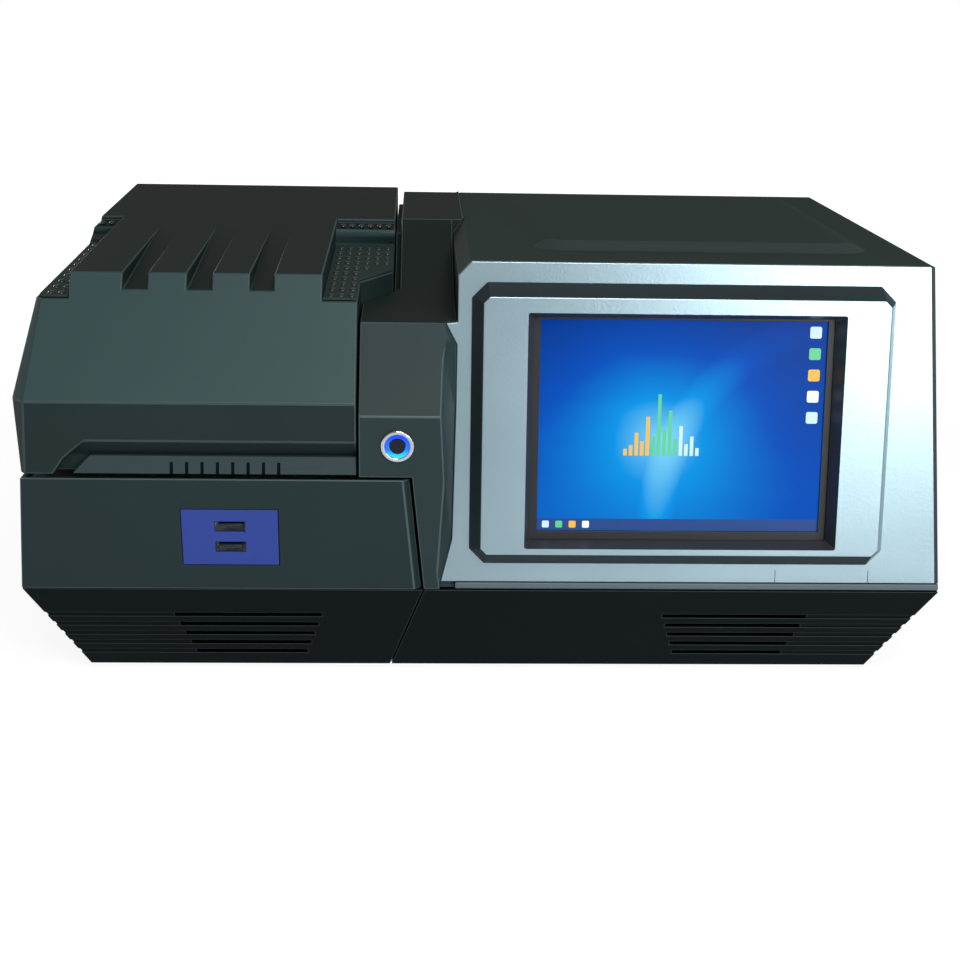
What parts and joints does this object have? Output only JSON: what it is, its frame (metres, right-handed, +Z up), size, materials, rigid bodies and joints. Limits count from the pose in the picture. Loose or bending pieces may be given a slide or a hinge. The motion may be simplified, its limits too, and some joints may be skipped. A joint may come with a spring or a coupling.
{
  "type": "x-ray fluorescence analyzer",
  "caption": "Benchtop x-ray fluorescence analyzer: hinged sample chamber hood, lit push button column and tilted touch screen in a silver fascia on a vented base.",
  "frame": {"origin": "centre of the bounding box in plan, at the underside of the feet", "axes": "+X to the right seen from the front, -Y towards the user, +Z up"},
  "size_m": [0.6, 0.4012, 0.2913],
  "materials": {
    "enamel": "satin, painted moulding",
    "dark_enamel": "satin",
    "top_enamel": "satin",
    "silver_lacquer": "satin metallic",
    "black_plastic": "fine grain",
    "grey_plastic": "fine grain",
    "blue_plastic": "smooth",
    "light_blue": "lit, translucent",
    "screen_glass": "polished",
    "display_cell": "lit",
    "chrome": "polished",
    "steel": "brushed",
    "aluminium": "milled",
    "lead_grey": "dull",
    "brass": "turned",
    "rubber": "moulded",
    "board_green": "solder mask",
    "film_amber": "clear film"
  },
  "bodies": {
    "base": {"left_base_cover": "dark_enamel", "right_base_cover": "dark_enamel", "chassis_plate": "steel", "foot_front_left": "rubber", "foot_front_right": "rubber", "foot_rear_left": "rubber", "foot_rear_right": "rubber", "left_body_shell": "enamel", "usb_panel": "blue_plastic", "usb_sockets": "steel", "chamber_deck": "steel", "stage_plate": "aluminium", "stage_ring": "lead_grey", "window_film": "film_amber", "chamber_gasket": "rubber", "body_leaf_left": "steel", "body_leaf_right": "steel", "hinge_pin_left": "steel", "hinge_pin_right": "steel", "center_cover": "enamel", "button_bezel": "chrome", "button_light_ring": "light_blue", "button_nut": "steel", "button_terminal_block": "black_plastic", "right_housing": "top_enamel", "silver_fascia": "silver_lacquer", "top_panel": "top_enamel", "screen_bezel": "silver_lacquer", "screen_mask": "black_plastic", "display_glass": "screen_glass", "display_panel": "display_cell", "display_tray": "steel", "rear_panel": "dark_enamel", "fan_frame_left": "black_plastic", "fan_frame_right": "black_plastic", "power_inlet": "black_plastic", "rocker_housing": "black_plastic", "head_block": "aluminium", "xray_tube": "brass", "tube_shield": "lead_grey", "collimator_motor": "black_plastic", "motor_stand": "steel", "detector": "steel", "sample_camera": "black_plastic", "hv_supply": "lead_grey", "main_board": "board_green", "power_supply": "aluminium"},
    "hood": {"lid_shell": "enamel", "grip_pad_left": "black_plastic", "grip_pad_right": "black_plastic", "handle_insert": "grey_plastic", "lid_liner": "steel", "lid_leaf_left": "steel", "lid_leaf_right": "steel"},
    "button": {"button_cap": "grey_plastic"},
    "left_fan": {"fan_rotor_left": "black_plastic"},
    "right_fan": {"fan_rotor_right": "black_plastic"},
    "rocker": {"power_rocker": "black_plastic"},
    "wheel": {"collimator_wheel": "aluminium"}
  },
  "joints": [
    {"name": "hood_hinge", "type": "hinge", "parent": "base", "child": "hood", "pos_m": [-0.175, 0.19611, 0.15335], "axis": [-1, 0, 0], "range_deg": [0, 75]},
    {"name": "button_press", "type": "slide", "parent": "base", "child": "button", "axis": [0, 0.9914, 0.1305], "range_m": [0, 0.001], "stiffness_N_per_m": 1500},
    {"name": "left_fan_spin", "type": "hinge", "parent": "base", "child": "left_fan", "pos_m": [0.07, 0.16631, 0.195], "axis": [0, 1, 0], "continuous": true},
    {"name": "right_fan_spin", "type": "hinge", "parent": "base", "child": "right_fan", "pos_m": [0.17, 0.16631, 0.195], "axis": [0, 1, 0], "continuous": true},
    {"name": "rocker_tilt", "type": "hinge", "parent": "base", "child": "rocker", "pos_m": [0.15, 0.19141, 0.123], "axis": [-1, 0, 0], "range_deg": [0, 18]},
    {"name": "wheel_spin", "type": "hinge", "parent": "base", "child": "wheel", "pos_m": [-0.222, 0.00118, 0.1022], "axis": [0, 0, 1], "continuous": true}
  ]
}
